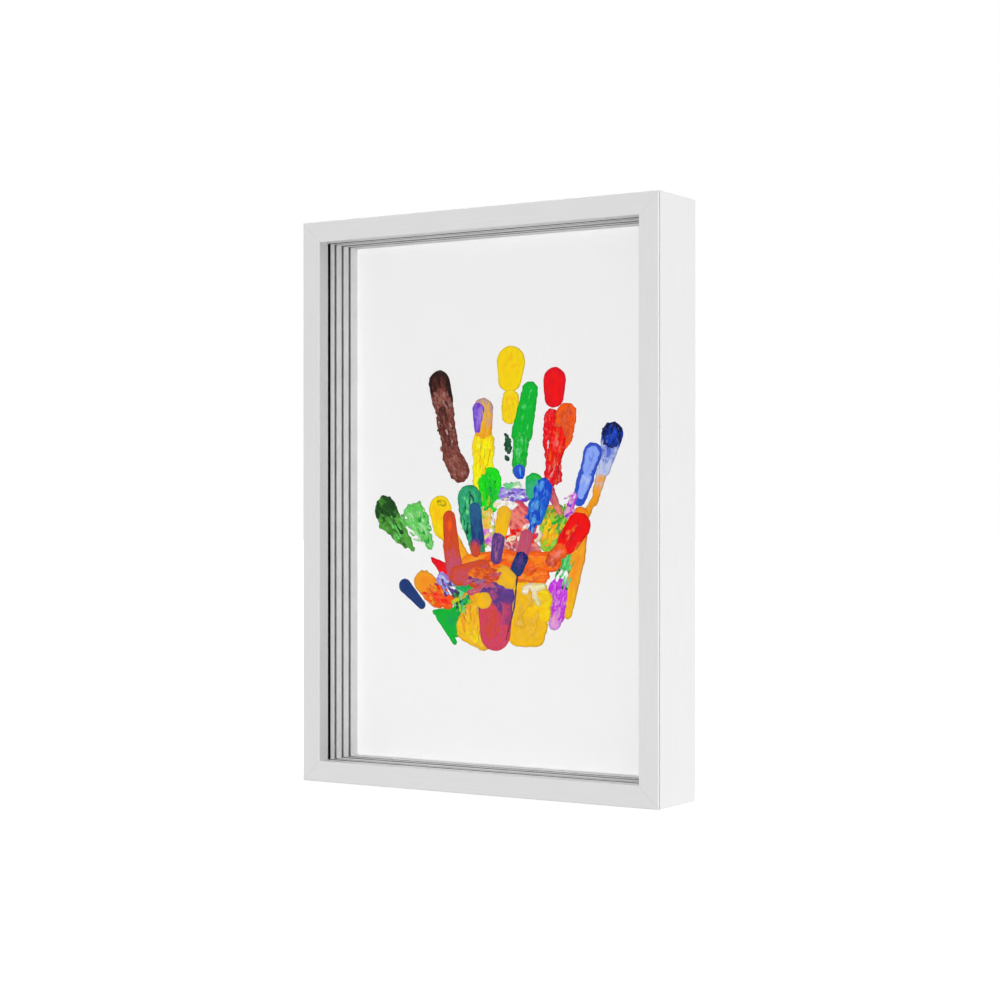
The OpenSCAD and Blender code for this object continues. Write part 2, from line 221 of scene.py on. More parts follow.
def white_card():
    """Matt white card with short fibres."""
    made = Finish("white_card")
    fibres = made.grain(made.place((1, 1, 0.4)), 1600, detail=5, rough=0.7, warp=1.5)
    clouds = made.grain(made.place(), 22, detail=2)
    colour = made.mix(made.fit(fibres, 0.35, 0.7), tone("#fbfbfb"), tone("#f6f6f6"))
    colour = made.mix(made.fit(clouds, 0.3, 0.7, 0, 0.4), colour, tone("#f7f7f6"))
    made.coat(colour, made.fit(fibres, 0.3, 0.7, 0.8, 0.92))
    made.constant(Specular_IOR_Level=0.1)
    made.bump(fibres, 0.15, 0.05 * MM)
    return made.material


def fibreboard():
    """Brown hardboard: pressed fibres both ways, darker specks and clouds."""
    made = Finish("fibreboard")
    fibres = made.grain(made.place((1, 1, 0.35)), 700, detail=6, rough=0.7, warp=2.0)
    crossed = made.grain(made.place((0.3, 1, 1)), 620, detail=5, rough=0.7, warp=2.0)
    specks = made.grain(made.place(), 1500, detail=2)
    clouds = made.grain(made.place(), 14, detail=3)
    colour = made.mix(made.fit(fibres, 0.3, 0.7), tone("#8f6a45"), tone("#a9835b"))
    colour = made.mix(made.fit(crossed, 0.5, 0.72, 0, 0.6), colour, tone("#bd9a72"))
    colour = made.mix(made.fit(specks, 0.62, 0.72, 0, 0.7), colour, tone("#5e4228"))
    colour = made.mix(made.fit(clouds, 0.3, 0.7, 0, 0.35), colour, tone("#7f5b3a"))
    made.coat(colour, made.fit(crossed, 0.3, 0.7, 0.5, 0.72))
    made.bump(made.maths("ADD", fibres, crossed), 0.35, 0.1 * MM)
    return made.material


def steel(name, light, dark, roughness, brush):
    """Plated sheet steel, brushed along one axis or not at all, with faint cloudy stains."""
    made = Finish(name)
    lines = made.grain(made.place(brush), 2600, detail=4, rough=0.6)
    clouds = made.grain(made.place(), 260, detail=3)
    colour = made.mix(made.fit(clouds, 0.35, 0.7), tone(light), tone(dark))
    made.coat(colour, made.fit(lines, 0.3, 0.7, roughness - 0.06, roughness + 0.08))
    made.constant(Metallic=1.0)
    made.bump(lines, 0.2, 0.03 * MM)
    return made.material


def glass(name, gloss, rim, cover, reach_x, reach_z):
    """Clear pane: light goes straight through, a little is mirrored, and the rim behind the lip is painted
    dark as painted shade for the gap there.

    The painted shade covers the share that cover gives, and the reaches move its inner edge into the
    opening.
    """
    made = Finish(name)
    place = made.place()
    split = made.add("SeparateXYZ")
    made.feed(split.inputs["Vector"], place)
    across = made.maths("SUBTRACT", made.maths("ABSOLUTE", split.outputs["X"]), OPEN_EDGE_X - reach_x)
    from_middle = made.maths("ABSOLUTE", made.maths("SUBTRACT", split.outputs["Z"], MIDDLE_Z))
    up = made.maths("SUBTRACT", from_middle, OPEN_EDGE_Z - reach_z)
    # Share of painted shade: outside the opening the rim shows a flat dark tone that stands in for the shade
    # behind the lip.
    outside = made.fit(made.maths("MAXIMUM", across, up), 0.0, 0.1 * MM, 0.0, cover, smooth=False)
    haze = made.grain(place, 60, detail=2)
    rim_shade_cloud = made.grain(place, 400, detail=3)
    mirror = made.add("BsdfGlossy", distribution="GGX")
    made.feed(mirror.inputs["Roughness"], made.fit(haze, 0.3, 0.7, 0.02, 0.06))
    fresnel = made.add("Fresnel")
    made.feed(fresnel.inputs["IOR"], GLASS_INDEX)
    mirrored = made.maths("MULTIPLY", fresnel.outputs["Fac"], gloss)
    pane = made.blend(mirrored, made.add("BsdfTransparent"), mirror)
    # Painted shade: a dark tone with faint clouds for the rim behind the lip.
    colour = made.mix(made.fit(rim_shade_cloud, 0.3, 0.7), tone(rim), tuple(0.8 * c for c in tone(rim)))
    made.feed(made.shader.inputs["Base Color"], colour)
    made.constant(Roughness=0.4, Specular_IOR_Level=0.1)
    made.show(made.blend(outside, pane, made.shader))
    return made.material


def poster_paint(name, gloss, rim_depth):
    """Finger paint: two tones run into each other along a dab, a third streaks it, and its rim is darker."""
    made = Finish(name)
    facts = made.add("SeparateXYZ")
    made.feed(facts.inputs["Vector"], made.add("Attribute", attribute_name="facts").outputs["Vector"])
    share, from_rim, streaked = (facts.outputs[axis] for axis in "XYZ")
    start = made.add("Attribute", attribute_name="tone_start").outputs["Color"]
    end = made.add("Attribute", attribute_name="tone_end").outputs["Color"]
    third = made.add("Attribute", attribute_name="tone_streak")

    # Patterns that run with the dab; its flow is in millimetres
    wander = made.grain(made.place((0.2, 0.2, 1), "flow"), 1.0, detail=3)
    blot = made.grain(made.place((0.3, 0.2, 1), "flow"), 1.0, detail=4, warp=1.0)
    brush = made.grain(made.place((0.8, 0.14, 1), "flow"), 1.0, detail=4, rough=0.5, warp=0.5)
    pits = made.grain(made.place(attribute="flow"), 1.8, detail=3, rough=0.6)
    torn = made.grain(made.place((0.4, 0.24, 1), "flow"), 1.0, detail=7, rough=0.78, warp=0.5)
    mottle = made.grain(made.place((1, 0.6, 1), "flow"), 0.7, detail=4, rough=0.65, warp=0.3)

    # The two tones, and the third in streaks that keep off the rim
    mixed = made.maths("ADD", share, made.fit(wander, 0.25, 0.75, -0.3, 0.3, smooth=False))
    colour = made.mix(made.fit(mixed, 0.25, 0.75), start, end)
    level = made.maths("SUBTRACT", 0.66, made.maths("MULTIPLY", streaked, 0.34))
    over = made.maths("ADD", made.weigh(brush, 0.45, blot, 0.55), made.fit(from_rim, 0.5, 4, -0.07, 0.06))
    shown = made.fit(made.maths("SUBTRACT", over, level), -0.06, 0.12, 0.0, 0.9)
    colour = made.mix(shown, colour, third.outputs["Color"])

    # Light and dark mottling where the dab is rubbed, then darker brush marks and rim
    rubbed = made.fit(third.outputs["Alpha"], 0, 0.3, 0.08, 1, smooth=False)
    light = made.maths("MULTIPLY", made.fit(mottle, 0.5, 0.72, 0, 0.3), rubbed)
    dark = made.maths("MULTIPLY", made.fit(mottle, 0.3, 0.48, 0.45, 0), rubbed)
    colour = made.mix(light, colour, made.mix(0.5, colour, PURE_WHITE, "SCREEN"))
    colour = made.darken(dark, colour, "#b0a8b0")
    colour = made.darken(made.fit(brush, 0.3, 0.5, 0.2, 0), colour, "#a8a0a8")
    colour = made.darken(made.fit(from_rim, 0.1, 1.2, rim_depth, 0), colour, "#a8a0b0")
    made.coat(colour, made.fit(pits, 0.3, 0.7, gloss, gloss + 0.2))
    made.constant(Specular_IOR_Level=0.06)
    made.bump(made.weigh(brush, 0.7, pits, 0.3), 0.35, 0.2 * MM)

    # Bare places, where the pane shows through
    bare_level = made.maths("SUBTRACT", 0.8, made.maths("MULTIPLY", third.outputs["Alpha"], 0.4))
    bare = made.fit(made.maths("SUBTRACT", torn, bare_level), -0.01, 0.02)
    made.show(made.blend(bare, made.shader, made.add("BsdfTransparent")))
    return made.material


# Paint tones

BLACK_BROWN = "#2b1715"
UMBER = "#43201e"
BROWN = "#76382e"
DUSTY_BROWN = "#985c50"
SCRATCH = "#e0c0b8"
DARK_GREEN = "#1b4a1c"
LEAF_GREEN = "#52a638"
PALE_GREEN = "#a8e8a0"
FRESH_GREEN = "#66d45c"
GRASS_GREEN = "#08ba34"
MINT = "#6ce08a"
NEON_GREEN = "#18e814"
TEAL_GREEN = "#14965a"
SPRUCE = "#0a4f30"
SEA_GREEN = "#35b482"
LIME = "#a4d82a"
YELLOW = "#ffdc0c"
GOLD = "#fcc20c"
LEMON = "#fff80c"
OLIVE = "#b9a40a"
CREAM = "#f6e6c0"
PALE_YELLOW = "#f0e490"
OCHRE = "#f0b828"
AMBER = "#f8a420"
ORANGE = "#ff8a10"
FIRE_ORANGE = "#ff600a"
RUST = "#d64a22"
SCARLET = "#fb0d04"
CRIMSON = "#ee0820"
SALMON = "#f58a78"
ROSE = "#c8506c"
ROSE_PINK = "#d8425e"
PINK = "#f0a8c8"
MAGENTA = "#cc2ee6"
ORCHID = "#e090e8"
LAVENDER = "#9678e2"
PURPLE = "#7a46d4"
PLUM = "#5c3a86"
MAUVE = "#a8688a"
TAN = "#c49c98"
NAVY = "#12206a"
DEEP_NAVY = "#0a1146"
INK = "#1c3a78"
DENIM = "#28608e"
ROYAL = "#0d4ad0"
BLUE = "#1a70d8"
SKY = "#5aa8f0"
PERIWINKLE = "#8eacff"
CORNFLOWER = "#3658d2"
PALE_BLUE = "#c4d0f2"
WHITE = "#ffffff"

# Each dab, in mm: start and end (x, z) from the middle of the frame, widths at both, tones of the start, the
# end and the streaks, share of streaks, how ragged the outline is and how much of the dab is bare.
# Later dabs lie over earlier ones.
FATHER = [
    ((-75, -5), (-57, -26), 15, 3, DARK_GREEN, LEAF_GREEN, LEAF_GREEN, 0.5, 0.5, 0.2),
    ((-76, -11), (-62, -24), 9, 4, LEAF_GREEN, LEAF_GREEN, DARK_GREEN, 0.6, 0.6, 0.3),
    ((-76, -2), (-70, -6), 11, 7, DARK_GREEN, DARK_GREEN, LEAF_GREEN, 0.3, 0.4, 0),
    ((-39, 65), (-37, 56), 14, 14, BLACK_BROWN, BLACK_BROWN, BROWN, 0.3, 0.2, 0),
    ((-38, 57), (-35, 48), 13, 12, BROWN, BROWN, DUSTY_BROWN, 0.5, 0.5, 0.3),
    ((-35, 44), (-31, 28), 12, 10, BROWN, BROWN, DUSTY_BROWN, 0.35, 0.5, 0.3),
    ((-37, 50), (-33, 31), 6, 5, UMBER, UMBER, BROWN, 0.6, 0.4, 0.1),
    ((-31, 25), (-26, 17), 12, 13.5, BROWN, BROWN, DUSTY_BROWN, 0.35, 0.4, 0.25),
    ((7.5, 74.5), (6.8, 66), 18, 15, YELLOW, YELLOW, GOLD, 0.2, 0.2, 0),
    ((7.2, 55), (7, 47), 10.5, 11, YELLOW, YELLOW, GOLD, 0.3, 0.3, 0.1),
    ((34.8, 64), (34.5, 55.5), 14, 12, CRIMSON, CRIMSON, SCARLET, 0.4, 0.15, 0),
    ((33, 44.2), (32.5, 30), 9.5, 10, CRIMSON, CRIMSON, SCARLET, 0.4, 0.4, 0.25),
    ((33, 26), (35, 13), 9, 9, CRIMSON, CRIMSON, SALMON, 0.6, 0.5, 0.35),
    ((65, 19), (59, -1), 7, 4, PALE_BLUE, AMBER, AMBER, 0.5, 0.4, 0.3),
    ((61, 4), (54, -8), 4, 4, AMBER, AMBER, RUST, 0.4, 0.3, 0),
    ((70, 34.5), (65, 16), 13, 7, ROYAL, PALE_BLUE, CORNFLOWER, 0.35, 0.15, 0.15),
    ((70, 34.8), (69.4, 32.5), 12.6, 12, DEEP_NAVY, NAVY, ROYAL, 0.4, 0.6, 0.1),
    ((31, -9), (34, -22), 15, 16, AMBER, LIME, GRASS_GREEN, 0.45, 0.6, 0.3),
    ((31, -13), (31, -21), 9, 9, GOLD, AMBER, YELLOW, 0.4, 0.4, 0.1),
    ((40, -9), (38, -20), 8, 7, GRASS_GREEN, LIME, GOLD, 0.4, 0.6, 0.3),
    ((36, -4), (46, -10), 5, 4, LEAF_GREEN, GRASS_GREEN, LIME, 0.5, 0.8, 0.4),
    ((44, -31), (40, -43), 12, 10, GRASS_GREEN, GRASS_GREEN, MINT, 0.5, 0.6, 0.6),
    ((51, -8), (49, -31), 10, 9, ORANGE, AMBER, GOLD, 0.35, 0.2, 0),
    ((49, -30), (43, -60), 9, 5, AMBER, GOLD, ORANGE, 0.35, 0.2, 0),
    ((38, -47), (36, -60), 13, 11, MAGENTA, MAGENTA, ORCHID, 0.4, 0.3, 0.5),
    ((37, -58), (35, -65), 9, 7, MAGENTA, ORCHID, PINK, 0.5, 0.3, 0.25),
]
MOTHER = [
    ((-51, -8), (-40, -24), 15, 4, FRESH_GREEN, FRESH_GREEN, PALE_GREEN, 0.3, 0.9, 0.55),
    ((-6, 32), (-6, 10), 14, 13, YELLOW, LEMON, LEMON, 0.45, 0.5, 0.1),
    ((-6.2, 49), (-6, 38), 13, 11, TAN, AMBER, OCHRE, 0.5, 0.2, 0),
    ((-8.8, 49.5), (-9.6, 38), 8.5, 4, PURPLE, PURPLE, LAVENDER, 0.65, 0.3, 0.05),
    ((-2, 11), (-1, 1), 15, 14, NEON_GREEN, NEON_GREEN, GRASS_GREEN, 0.35, 0.3, 0.1),
    ((23.5, 58.5), (18.5, 36), 10, 13, GRASS_GREEN, GRASS_GREEN, MINT, 0.1, 0.3, 0),
    ((18, 33), (16.5, 17), 10.5, 8, GRASS_GREEN, GRASS_GREEN, MINT, 0.2, 0.4, 0.25),
    ((17, 16), (17, 15), 8, 7, CORNFLOWER, ROYAL, SKY, 0.5, 0.3, 0),
    ((9, 35), (10, 27), 3, 4, SPRUCE, SPRUCE, LEAF_GREEN, 0.2, 0.9, 0.3),
    ((8.5, 24), (9.5, 22), 2, 2, SPRUCE, SPRUCE, LEAF_GREEN, 0.2, 0.6, 0),
    ((46, 45), (44, 33), 13, 11, FIRE_ORANGE, FIRE_ORANGE, RUST, 0.5, 0.4, 0.1),
    ((42, 35), (35, 9), 11, 7, SCARLET, CRIMSON, SALMON, 0.2, 0.4, 0.15),
    ((62, 25), (58.5, 14), 11, 9, CORNFLOWER, CORNFLOWER, ROYAL, 0.5, 0.3, 0),
    ((58, 13), (54, 1), 10, 8, CORNFLOWER, CORNFLOWER, ROYAL, 0.5, 0.3, 0),
    ((62, 24.5), (59, 16), 8.5, 6.5, PERIWINKLE, PERIWINKLE, CORNFLOWER, 0.3, 0.5, 0),
    ((58, 11.5), (55, 3), 7, 5, PERIWINKLE, PERIWINKLE, PALE_BLUE, 0.45, 0.5, 0),
    ((51, 3), (47, -7), 4, 5, MAGENTA, PINK, WHITE, 0.5, 0.5, 0.4),
    ((14, -6), (21, -12), 15, 14, ROSE_PINK, ROSE_PINK, SALMON, 0.5, 0.4, 0.1),
    ((7, 4), (21, 3), 7, 7, LAVENDER, PURPLE, PALE_BLUE, 0.6, 0.5, 0.4),
    ((9, 8), (16, 8), 4, 4, MINT, PALE_GREEN, WHITE, 0.6, 0.9, 0.6),
    ((5, -2), (13, -2), 6, 5.5, WHITE, WHITE, CREAM, 0.4, 0.6, 0),
    ((-4, -7), (-3, -16), 9, 10, PALE_YELLOW, CREAM, GOLD, 0.6, 0.7, 0.45),
    ((-5, -18), (4, -23), 8, 8, PINK, CREAM, MAGENTA, 0.6, 0.7, 0.5),
    ((9, -14), (12, -19), 7, 7, SCARLET, SCARLET, SALMON, 0.3, 0.6, 0.1),
    ((9, -25), (26, -26), 8, 8, CREAM, SALMON, ROSE, 0.5, 0.6, 0.5),
    ((36, 5), (42, -6), 6, 3, ROSE, SALMON, CRIMSON, 0.5, 0.4, 0.2),
    ((26, -12), (27, -18), 7, 8, WHITE, CREAM, SALMON, 0.4, 0.7, 0.3),
]
CHILD = [
    ((-16, -49), (-14, -60), 12, 11, SEA_GREEN, LEAF_GREEN, MINT, 0.6, 0.6, 0.25),
    ((-33, -60), (-19, -62), 3, 11, GRASS_GREEN, GRASS_GREEN, TEAL_GREEN, 0.4, 0.2, 0),
    ((-30, -62), (-20, -76), 5, 3, GRASS_GREEN, GRASS_GREEN, TEAL_GREEN, 0.4, 0.2, 0),
    ((-24, -62), (-19, -71), 9, 5, GRASS_GREEN, GRASS_GREEN, TEAL_GREEN, 0.4, 0.2, 0),
    ((-8, -53), (-4, -66), 14, 13, AMBER, ORANGE, GOLD, 0.5, 0.5, 0.1),
    ((-12, -68), (-2, -73), 15, 14, GOLD, OCHRE, YELLOW, 0.4, 0.4, 0.15),
    ((-40, -44), (-31, -51), 13, 14, AMBER, FIRE_ORANGE, ORANGE, 0.4, 0.4, 0),
    ((-33, -51), (-25, -54), 9, 9, FIRE_ORANGE, FIRE_ORANGE, SCARLET, 0.4, 0.5, 0.2),
    ((-35, -31), (-25, -38), 2, 9, CRIMSON, SCARLET, CRIMSON, 0.3, 0.3, 0),
    ((-28, -42), (-25, -44), 8, 8, LAVENDER, PERIWINKLE, PALE_BLUE, 0.6, 0.6, 0.3),
    ((-23, -45), (-20, -50), 4, 4, PLUM, PLUM, MAUVE, 0.3, 0.5, 0),
    ((-29.5, -4), (-27.5, -14), 14, 13, YELLOW, YELLOW, GOLD, 0.4, 0.2, 0),
    ((-30, -1), (-27, -1), 4, 4, OLIVE, OLIVE, YELLOW, 0.6, 0.3, 0),
    ((-27, -14), (-15, -30), 11, 8, YELLOW, AMBER, GOLD, 0.4, 0.3, 0),
    ((-10.5, 1.5), (-9.5, -9), 15, 14, TEAL_GREEN, TEAL_GREEN, SEA_GREEN, 0.7, 0.3, 0.15),
    ((-9, -10), (-5, -26), 13, 9, SEA_GREEN, TEAL_GREEN, TEAL_GREEN, 0.5, 0.4, 0.3),
    ((30.3, 9), (30, 4), 11.5, 9, GRASS_GREEN, SEA_GREEN, SEA_GREEN, 0.5, 0.3, 0.15),
    ((35.3, 6), (31.2, -8), 12.5, 10, ROYAL, BLUE, SKY, 0.25, 0.4, 0.15),
    ((31.2, -3), (28.7, -15.5), 9, 3, BLUE, ROYAL, SKY, 0.5, 0.5, 0.2),
    ((-10, -35), (13, -32), 13, 13, ORANGE, FIRE_ORANGE, AMBER, 0.5, 0.4, 0.1),
    ((13, -33), (41, -32), 13, 11, FIRE_ORANGE, FIRE_ORANGE, ORANGE, 0.5, 0.5, 0.15),
    ((23, -40), (35, -39), 10, 9, RUST, FIRE_ORANGE, ORANGE, 0.5, 0.5, 0.2),
    ((20, -47), (34, -47), 9, 9, GOLD, GOLD, YELLOW, 0.4, 0.3, 0),
    ((21, -52), (35, -52), 13, 13, GOLD, YELLOW, OCHRE, 0.4, 0.3, 0),
    ((21, -59), (34, -59), 13, 13, GOLD, YELLOW, GOLD, 0.4, 0.3, 0),
    ((20, -66), (32, -66), 13, 13, GOLD, GOLD, OCHRE, 0.45, 0.3, 0),
    ((20, -71), (31, -71), 12, 12, GOLD, GOLD, OCHRE, 0.4, 0.3, 0.1),
    ((26, -47), (36, -45), 6, 4, CREAM, PALE_YELLOW, WHITE, 0.5, 0.7, 0.3),
    ((30, -49), (33, -54), 5, 3, CREAM, PALE_YELLOW, GOLD, 0.5, 0.7, 0.2),
    ((57.5, -13), (50.5, -22), 14, 12, SCARLET, SCARLET, CRIMSON, 0.4, 0.2, 0),
    ((47, -26), (41, -31), 8, 7, FIRE_ORANGE, RUST, SALMON, 0.5, 0.6, 0.2),
    ((-16, -44), (-11, -46), 8, 7, SEA_GREEN, GRASS_GREEN, TEAL_GREEN, 0.5, 0.4, 0),
    ((-7, -50), (-2, -53), 8, 9, AMBER, GOLD, OCHRE, 0.4, 0.4, 0),
]
BABY = [
    ((-50, -46), (-39, -56), 8, 5, INK, INK, NAVY, 0.2, 0.1, 0),
    ((-21, -9), (-19.5, -24), 8, 10, RUST, RUST, FIRE_ORANGE, 0.1, 0.1, 0),
    ((-20, -24), (-17, -38), 10, 11, RUST, ROSE, ROSE, 0.3, 0.1, 0),
    ((-4.5, -4), (-2.5, -20), 7, 8, DENIM, INK, DENIM, 0.5, 0.1, 0),
    ((-4, -23), (-4, -27), 7, 6, PLUM, RUST, RUST, 0.4, 0.1, 0),
    ((14, -7), (12, -16), 9, 8, OCHRE, GOLD, GOLD, 0.4, 0.1, 0),
    ((10.5, -20), (9, -30), 8, 7, PLUM, PLUM, MAUVE, 0.4, 0.1, 0),
    ((28, -19), (26, -26), 8, 8, ROSE, ROSE, MAUVE, 0.3, 0.1, 0),
    ((25, -30), (22, -36), 8, 8, NAVY, INK, PLUM, 0.3, 0.1, 0),
    ((-15, -40), (0, -37), 11, 12, RUST, RUST, ROSE, 0.4, 0.1, 0),
    ((-4, -40), (13, -42), 13, 10, RUST, RUST, ORANGE, 0.4, 0.2, 0),
    ((4, -49), (14, -50), 11, 13, MAUVE, PLUM, PURPLE, 0.5, 0.1, 0),
    ((8.5, -53), (8.5, -70), 22, 19, PLUM, ROSE_PINK, ROSE, 0.2, 0.1, 0),
    ((5, -60), (6, -68), 14, 14, ROSE_PINK, ROSE_PINK, RUST, 0.4, 0.1, 0),
    ((14, -40), (18, -42), 11, 9, OCHRE, OCHRE, GOLD, 0.4, 0.4, 0),
    ((1, -53), (2, -53), 9, 9, GOLD, OCHRE, GOLD, 0.3, 0.2, 0),
    # The last two dabs are a thin dark line along the right edge of the baby's palm: painted shade along
    # that edge.
    ((22.4, -38), (20.4, -56), 0.5, 0.9, UMBER, PLUM, RUST, 0.3, 0.2, 0.2),
    ((20.4, -56), (15.5, -73), 0.9, 0.5, PLUM, UMBER, RUST, 0.3, 0.2, 0.2),
]

# Each patch of short strokes over the dabs: seed, middle, reach, number of strokes, their length and width,
# heading and spread in degrees, and tones.
FATHER_STROKES = [
    (11, (35, -14), (9, 11), 16, 6, 2.4, 60, 40, (LIME, GOLD, GRASS_GREEN, AMBER, YELLOW, LEAF_GREEN)),
    (17, (39, -8), (6, 6), 12, 5, 1.8, 60, 40, (LIME, GRASS_GREEN, LIME, LEAF_GREEN)),
    (12, (42, -37), (5, 9), 14, 5, 1.3, 75, 25, (GRASS_GREEN, WHITE, MINT, SPRUCE, WHITE)),
    (13, (36.5, -55), (5, 9), 12, 5, 0.9, 80, 25, (WHITE, MAGENTA, MAGENTA, ORCHID)),
    (14, (-67, -14), (6, 7), 12, 6, 1.1, 125, 20, (LEAF_GREEN, FRESH_GREEN, DARK_GREEN)),
    (15, (-34, 38), (5, 16), 14, 4, 0.7, 100, 30, (SCRATCH, DUSTY_BROWN, UMBER)),
    (16, (33, 24), (4, 12), 8, 5, 0.9, 90, 25, (SALMON, CRIMSON, WHITE)),
]
MOTHER_STROKES = [
    (21, (18, -18), (10, 8), 16, 6, 2.6, 30, 70, (ROSE_PINK, SALMON, CREAM, WHITE, SCARLET, ROSE)),
    (29, (9, -2), (6, 2.5), 8, 4, 2.2, 10, 40, (WHITE, WHITE, CREAM)),
    (22, (14, 3), (8, 3), 12, 5, 1.2, 5, 20, (LAVENDER, PURPLE, WHITE, LAVENDER, PLUM)),
    (23, (-3, -14), (5, 9), 12, 4, 1.6, 80, 50, (PALE_YELLOW, WHITE, MAGENTA, LIME, CREAM, MAUVE)),
    (24, (-2, 6), (5, 8), 10, 6, 1.4, 80, 25, (GRASS_GREEN, LIME, NEON_GREEN, NEON_GREEN)),
    (25, (-6, 22), (4, 9), 6, 7, 2.6, 85, 15, (LEMON, YELLOW)),
    (26, (40, 26), (4, 14), 9, 7, 1.2, 72, 15, (FIRE_ORANGE, SALMON, SCARLET)),
    (27, (-46, -15), (7, 9), 18, 5, 1.4, 125, 40, (FRESH_GREEN, FRESH_GREEN, PALE_GREEN, GRASS_GREEN)),
    (28, (48.5, -2), (3, 6), 7, 3, 1.2, 60, 40, (WHITE, MAGENTA, PURPLE, PINK)),
]
CHILD_STROKES = [
    (31, (10, -35), (28, 6), 26, 9, 2.6, 8, 20, (FIRE_ORANGE, ORANGE, FIRE_ORANGE, RUST, AMBER)),
    (32, (-14, -53), (5, 8), 14, 6, 1.8, 70, 50, (SEA_GREEN, GRASS_GREEN, LIME, GOLD, SPRUCE)),
    (33, (-6, -64), (8, 11), 11, 7, 3.2, 85, 40, (GOLD, OCHRE, AMBER, GOLD, YELLOW)),
    (34, (28, -60), (8, 11), 9, 8, 3.2, 85, 30, (GOLD, OCHRE)),
    (35, (-26, -44), (6, 5), 10, 4, 1.6, 130, 50, (PERIWINKLE, LAVENDER, CRIMSON, WHITE, PLUM)),
    (36, (-10, -10), (5, 14), 14, 7, 1.5, 95, 20, (SEA_GREEN, MINT, SEA_GREEN, TEAL_GREEN, SPRUCE)),
    (37, (31, -6), (4, 9), 12, 6, 1.4, 70, 25, (SKY, BLUE, ROYAL, ROYAL)),
    (38, (-33, -49), (7, 5), 10, 6, 1.8, 150, 30, (FIRE_ORANGE, AMBER, SCARLET)),
    (39, (52, -19), (8, 6), 7, 6, 1.6, 50, 20, (SCARLET, CRIMSON, FIRE_ORANGE)),
]
BABY_STROKES = [
    (41, (2, -44), (12, 5), 10, 9, 2.8, 10, 25, (RUST, ROSE, PLUM, MAUVE)),
]

# Thickness of the film of a dab, and how much further each later dab and each later stroke stands out
FILM = 0.14 * MM
LAYER = 0.02 * MM
STROKE_LAYER = 0.35
THICKEST = 1.3

# Rounds of division of the ball that a dab is made from; a wide dab has widths that add up to more than WIDE
WIDE = 15
WIDE_ROUNDS, NARROW_ROUNDS, STROKE_ROUNDS = 5, 4, 3
DAB_RIM_SCALE, STROKE_RIM_SCALE = 1, 12

# Ragged outline and raised marks of a dab: lengths in mm, heights, and steps between the seeds of noise
WAVE, WAVE_HIGH = 2.4, 1.8
RIPPLE, RIPPLE_HIGH = 0.9, 0.9
MARK_WIDE, MARK_LONG, MARK_HIGH = 0.9, 3.5, 0.25
DAB_SEED, RIPPLE_SEED, MARK_SEED = 17.3, 5, 9
TINY, TINIEST = 1e-6, 1e-9

# Strokes: ranges of the half length and the width, as shares of those of the patch, the taper and the looks
STROKE_HALF = (0.25, 0.6)
STROKE_WIDE = (0.6, 1.3)
STROKE_TAPER = (0.3, 0.9)
STROKE_BARE = (0, 0.3, 0.5)
STROKE_STREAKED, STROKE_RAGGED = 0.2, 0.5


def strokes(seed, middle, reach, number, length, width, heading, spread, tones):
    """Short strokes spread over an oval patch, each written as a dab."""
    chance = random.Random(seed)
    made = []
    for _ in range(number):
        turn = chance.uniform(0, math.tau)
        out = math.sqrt(chance.random())
        place = Vector(middle) + out * Vector((reach[0] * math.cos(turn), reach[1] * math.sin(turn)))
        angle = math.radians(heading + chance.uniform(-spread, spread))
        half = length * chance.uniform(*STROKE_HALF) * Vector((math.cos(angle), math.sin(angle)))
        start_w = width * chance.uniform(*STROKE_WIDE)
        first = chance.choice(tones)
        last = chance.choice(tones)
        end_w = start_w * chance.uniform(*STROKE_TAPER)
        looks = first, last, first, STROKE_STREAKED, STROKE_RAGGED, chance.choice(STROKE_BARE)
        made.append((place - half, place + half, start_w, end_w, *looks))
    return made


def half_width(along, length, start_w, end_w):
    """Half width of a dab at a distance along it, with round ends."""
    start_r, end_r = start_w / 2, end_w / 2
    if along < 0:
        return math.sqrt(max(start_r ** 2 - along ** 2, 0))
    if along > length:
        return math.sqrt(max(end_r ** 2 - (along - length) ** 2, 0))
    return start_r + (end_r - start_r) * along / length


